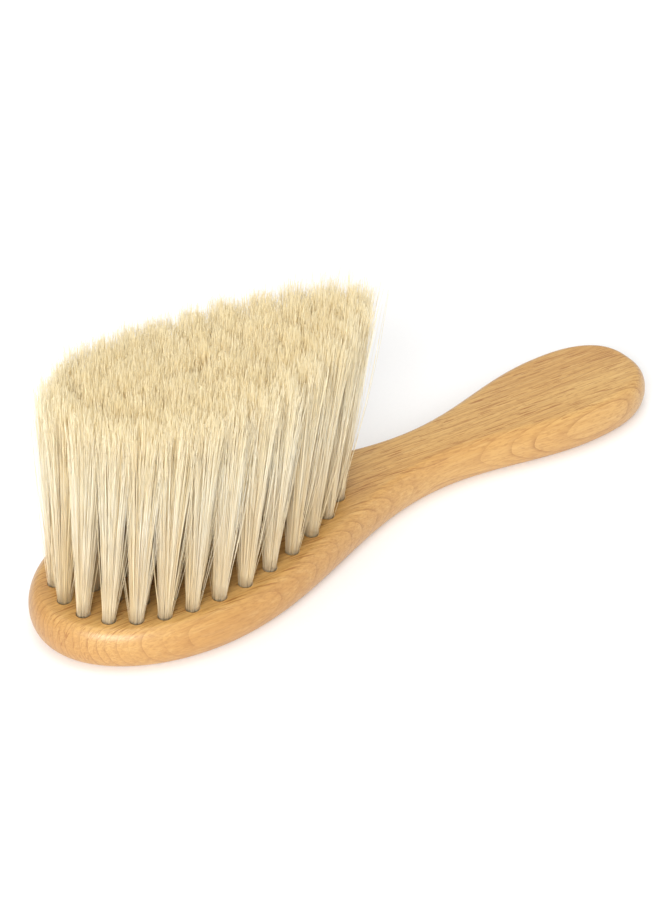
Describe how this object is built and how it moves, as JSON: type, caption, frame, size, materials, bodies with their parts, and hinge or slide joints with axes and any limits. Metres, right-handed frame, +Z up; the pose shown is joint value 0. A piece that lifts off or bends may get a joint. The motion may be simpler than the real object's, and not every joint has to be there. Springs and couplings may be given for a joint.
{
  "type": "neck duster brush",
  "caption": "Flat wooden neck duster brush: a broad oval head drilled with rings of soft upright bristle tufts, a waisted neck and a rounded grip.",
  "frame": {"origin": "centre of the board's outline on the back face that it rests on", "axes": "+X from the head along the board to the grip, +Y across the board, +Z up through the tufts"},
  "size_m": [0.22, 0.0634, 0.0804],
  "materials": {
    "beech": "satin clear lacquer over steamed beech",
    "bristle": "soft natural cream bristle with a dull sheen",
    "anchor_wire": "flat drawn wire"
  },
  "bodies": {
    "root": {"board": "beech", "wire_anchors": "anchor_wire", "tufts_third_ring": "bristle", "tuft_outer_01": "bristle", "tuft_outer_02": "bristle", "tuft_outer_03": "bristle", "tuft_outer_04": "bristle", "tuft_outer_05": "bristle", "tuft_outer_06": "bristle", "tuft_outer_07": "bristle", "tuft_outer_08": "bristle", "tuft_outer_09": "bristle", "tuft_outer_10": "bristle", "tuft_outer_11": "bristle", "tuft_outer_12": "bristle", "tuft_outer_13": "bristle", "tuft_outer_14": "bristle", "tuft_outer_15": "bristle", "tuft_outer_16": "bristle", "tuft_outer_17": "bristle", "tuft_outer_18": "bristle", "tuft_outer_19": "bristle", "tuft_outer_20": "bristle", "tuft_outer_21": "bristle", "tuft_outer_22": "bristle", "tuft_outer_23": "bristle", "tuft_outer_24": "bristle", "tuft_outer_25": "bristle", "tuft_outer_26": "bristle", "tuft_second_01": "bristle", "tuft_second_02": "bristle", "tuft_second_03": "bristle", "tuft_second_04": "bristle", "tuft_second_05": "bristle", "tuft_second_06": "bristle", "tuft_second_07": "bristle", "tuft_second_08": "bristle", "tuft_second_09": "bristle", "tuft_second_10": "bristle", "tuft_second_11": "bristle", "tuft_second_12": "bristle", "tuft_second_13": "bristle", "tuft_second_14": "bristle", "tuft_second_15": "bristle", "tuft_second_16": "bristle", "tuft_second_17": "bristle", "tuft_second_18": "bristle", "tuft_second_19": "bristle", "tuft_second_20": "bristle", "tuft_centre_01": "bristle", "tuft_centre_02": "bristle", "tuft_centre_03": "bristle", "tuft_centre_04": "bristle", "tuft_centre_05": "bristle"}
  },
  "joints": []
}
